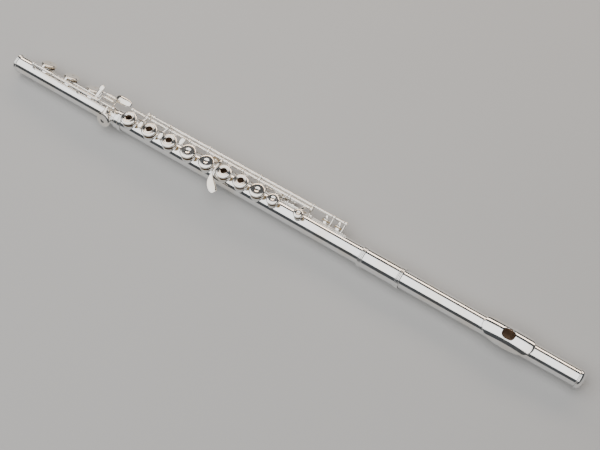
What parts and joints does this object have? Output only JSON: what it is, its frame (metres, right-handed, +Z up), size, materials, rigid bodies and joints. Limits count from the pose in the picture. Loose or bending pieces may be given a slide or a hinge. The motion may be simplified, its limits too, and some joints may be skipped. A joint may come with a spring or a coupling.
{
  "type": "concert_flute",
  "caption": "Silver concert flute with a B foot: head tube with lip plate and crown, body with pivoted open-hole keys on steel rods, and a foot joint with rollers",
  "frame": {"origin": "bottom centre of the flute's bounding box, keys up", "axes": "+X along the tube from the crown towards the foot, +Y away from the player, +Z up out through the main row of keys"},
  "size_m": [0.7212, 0.046, 0.0335],
  "materials": {
    "silver": "mirror-polished silver",
    "steel": "polished rod",
    "pad_skin": "thin membrane over felt",
    "cork": "plain cork"
  },
  "bodies": {
    "body": {"body_tube": "silver", "barrel": "silver", "main_rib": "silver", "trill_rib": "silver", "left_hand_rod": "steel", "right_hand_rod": "steel", "thumb_rod": "steel"},
    "headjoint": {"head_tube": "silver", "lip_plate": "silver", "riser": "silver"},
    "crown": {"crown": "silver"},
    "stopper": {"stopper_plate": "steel", "stopper_cork": "cork", "stopper_nut": "steel"},
    "footjoint": {"foot_tube": "silver", "foot_rib": "silver", "foot_rod": "steel"},
    "c_sharp": {"c_sharp_key": "silver", "c_sharp_pad": "pad_skin"},
    "c": {"c_key": "silver", "c_pad": "pad_skin"},
    "b_flat": {"b_flat_key": "silver", "b_flat_pad": "pad_skin"},
    "a": {"a_key": "silver", "a_pad": "pad_skin"},
    "upper_g": {"upper_g_key": "silver", "upper_g_pad": "pad_skin"},
    "lower_g": {"lower_g_key": "silver", "lower_g_pad": "pad_skin"},
    "f_sharp": {"f_sharp_key": "silver", "f_sharp_pad": "pad_skin"},
    "f": {"f_key": "silver", "f_pad": "pad_skin"},
    "e": {"e_key": "silver", "e_pad": "pad_skin"},
    "d": {"d_key": "silver", "d_pad": "pad_skin"},
    "g_sharp": {"g_sharp_key": "silver", "g_sharp_pad": "pad_skin"},
    "d_trill": {"d_trill_key": "silver", "d_trill_pad": "pad_skin"},
    "d_sharp_trill": {"d_sharp_trill_key": "silver", "d_sharp_trill_pad": "pad_skin"},
    "thumb_b": {"thumb_b_key": "silver", "thumb_b_pad": "pad_skin"},
    "foot_d_sharp": {"foot_d_sharp_key": "silver", "foot_d_sharp_pad": "pad_skin"},
    "foot_c_sharp": {"foot_c_sharp_key": "silver", "foot_c_sharp_pad": "pad_skin"},
    "foot_c": {"foot_c_key": "silver", "foot_c_pad": "pad_skin"},
    "foot_b": {"foot_b_key": "silver", "foot_b_pad": "pad_skin"},
    "thumb_b_flat_lever": {"thumb_b_flat_lever": "silver"},
    "b_flat_side_lever": {"b_flat_side_lever": "silver"},
    "foot_c_roller": {"foot_c_roller": "silver"},
    "foot_b_roller": {"foot_b_roller": "silver"}
  },
  "joints": [
    {"name": "headjoint_slide", "type": "slide", "parent": "body", "child": "headjoint", "axis": [-1, 0, 0], "range_m": [0, 0.034]},
    {"name": "footjoint_turn", "type": "hinge", "parent": "body", "child": "footjoint", "pos_m": [0.2036, -0.0018, 0.012], "axis": [1, 0, 0], "range_deg": [-10, 10]},
    {"name": "crown_screw", "type": "hinge", "parent": "headjoint", "child": "crown", "pos_m": [-0.3554, -0.0018, 0.012], "axis": [1, 0, 0], "range_deg": [-720, 720]},
    {"name": "stopper_travel", "type": "slide", "parent": "headjoint", "child": "stopper", "axis": [1, 0, 0], "range_m": [-0.002, 0.002]},
    {"name": "f_sharp_hinge", "type": "hinge", "parent": "body", "child": "f_sharp", "pos_m": [0.1026, -0.016, 0.0218], "axis": [-1, 0, 0], "range_deg": [0, 9], "stiffness_Nm_per_rad": 0.03, "springref_deg": -28.65},
    {"name": "f_hinge", "type": "hinge", "parent": "body", "child": "f", "pos_m": [0.13115, -0.016, 0.0218], "axis": [-1, 0, 0], "range_deg": [0, 9], "stiffness_Nm_per_rad": 0.03, "springref_deg": -28.65},
    {"name": "e_hinge", "type": "hinge", "parent": "body", "child": "e", "pos_m": [0.1586, -0.016, 0.0218], "axis": [-1, 0, 0], "range_deg": [0, 9], "stiffness_Nm_per_rad": 0.03, "springref_deg": -28.65},
    {"name": "d_hinge", "type": "hinge", "parent": "body", "child": "d", "pos_m": [0.18535, -0.016, 0.0218], "axis": [-1, 0, 0], "range_deg": [0, 9], "stiffness_Nm_per_rad": 0.03, "springref_deg": -28.65},
    {"name": "c_sharp_hinge", "type": "hinge", "parent": "body", "child": "c_sharp", "pos_m": [-0.03115, -0.016, 0.0218], "axis": [-1, 0, 0], "range_deg": [0, 9], "stiffness_Nm_per_rad": 0.03, "springref_deg": -28.65},
    {"name": "b_flat_hinge", "type": "hinge", "parent": "body", "child": "b_flat", "pos_m": [0.0118, -0.016, 0.0218], "axis": [-1, 0, 0], "range_deg": [0, 9], "stiffness_Nm_per_rad": 0.03, "springref_deg": -28.65},
    {"name": "a_hinge", "type": "hinge", "parent": "body", "child": "a", "pos_m": [0.0327, -0.016, 0.0218], "axis": [-1, 0, 0], "range_deg": [0, 9], "stiffness_Nm_per_rad": 0.03, "springref_deg": -28.65},
    {"name": "lower_g_hinge", "type": "hinge", "parent": "body", "child": "lower_g", "pos_m": [0.08135, -0.016, 0.0218], "axis": [-1, 0, 0], "range_deg": [0, 9], "stiffness_Nm_per_rad": 0.03, "springref_deg": -28.65},
    {"name": "upper_g_hinge", "type": "hinge", "parent": "body", "child": "upper_g", "pos_m": [0.05405, -0.016, 0.0218], "axis": [-1, 0, 0], "range_deg": [0, 9], "stiffness_Nm_per_rad": 0.03, "springref_deg": -28.65},
    {"name": "c_hinge", "type": "hinge", "parent": "body", "child": "c", "pos_m": [-0.0061, -0.016, 0.0218], "axis": [-1, 0, 0], "range_deg": [0, 9], "stiffness_Nm_per_rad": 0.03, "springref_deg": -28.65},
    {"name": "g_sharp_hinge", "type": "hinge", "parent": "body", "child": "g_sharp", "pos_m": [0.0687, -0.016, 0.0218], "axis": [-1, 0, 0], "range_deg": [0, 6], "stiffness_Nm_per_rad": 0.03, "springref_deg": -28.65},
    {"name": "d_trill_hinge", "type": "hinge", "parent": "body", "child": "d_trill", "pos_m": [0.0399, -0.0202, 0.022], "axis": [-1, 0, 0], "range_deg": [0, 7], "stiffness_Nm_per_rad": 0.03, "springref_deg": -28.65},
    {"name": "d_sharp_trill_hinge", "type": "hinge", "parent": "body", "child": "d_sharp_trill", "pos_m": [0.045, -0.0202, 0.022], "axis": [-1, 0, 0], "range_deg": [0, 7], "stiffness_Nm_per_rad": 0.03, "springref_deg": -28.65},
    {"name": "thumb_b_hinge", "type": "hinge", "parent": "body", "child": "thumb_b", "pos_m": [-0.00335, -0.016, 0.0166], "axis": [1, 0, 0], "range_deg": [0, 12], "stiffness_Nm_per_rad": 0.03, "springref_deg": -28.65},
    {"name": "thumb_b_flat_lever_hinge", "type": "hinge", "parent": "body", "child": "thumb_b_flat_lever", "pos_m": [-0.019, -0.016, 0.0166], "axis": [1, 0, 0], "range_deg": [0, 12], "stiffness_Nm_per_rad": 0.03, "springref_deg": -28.65},
    {"name": "b_flat_side_lever_hinge", "type": "hinge", "parent": "body", "child": "b_flat_side_lever", "pos_m": [0.11945, -0.016, 0.0218], "axis": [-1, 0, 0], "range_deg": [0, 8], "stiffness_Nm_per_rad": 0.03, "springref_deg": -28.65},
    {"name": "foot_d_sharp_hinge", "type": "hinge", "parent": "footjoint", "child": "foot_d_sharp", "pos_m": [0.22215, -0.004, 0.0278], "axis": [1, 0, 0], "range_deg": [0, 7], "stiffness_Nm_per_rad": 0.03, "springref_deg": -28.65},
    {"name": "foot_c_sharp_hinge", "type": "hinge", "parent": "footjoint", "child": "foot_c_sharp", "pos_m": [0.2471, -0.004, 0.0278], "axis": [1, 0, 0], "range_deg": [0, 9], "stiffness_Nm_per_rad": 0.03, "springref_deg": -28.65},
    {"name": "foot_c_hinge", "type": "hinge", "parent": "footjoint", "child": "foot_c", "pos_m": [0.2836, -0.004, 0.0278], "axis": [1, 0, 0], "range_deg": [0, 9], "stiffness_Nm_per_rad": 0.03, "springref_deg": -28.65},
    {"name": "foot_b_hinge", "type": "hinge", "parent": "footjoint", "child": "foot_b", "pos_m": [0.31525, -0.004, 0.0278], "axis": [1, 0, 0], "range_deg": [0, 9], "stiffness_Nm_per_rad": 0.03, "springref_deg": -28.65},
    {"name": "foot_c_roller_spin", "type": "hinge", "parent": "foot_c", "child": "foot_c_roller", "pos_m": [0.2222, -0.01392, 0.0316], "axis": [1, 0, 0], "continuous": true},
    {"name": "foot_b_roller_spin", "type": "hinge", "parent": "foot_b", "child": "foot_b_roller", "pos_m": [0.2222, -0.00955, 0.03111], "axis": [1, 0, 0], "continuous": true}
  ],
  "couplings": [
    {"joint": "stopper_travel", "follows": "crown_screw", "m_per_rad": 0.000127},
    {"joint": "f_sharp_hinge", "follows": "f_hinge", "ratio": 1},
    {"joint": "b_flat_hinge", "follows": "a_hinge", "ratio": 1},
    {"joint": "lower_g_hinge", "follows": "upper_g_hinge", "ratio": 1},
    {"joint": "foot_c_sharp_hinge", "follows": "foot_c_hinge", "ratio": 1},
    {"joint": "thumb_b_flat_lever_hinge", "follows": "thumb_b_hinge", "ratio": 1}
  ]
}
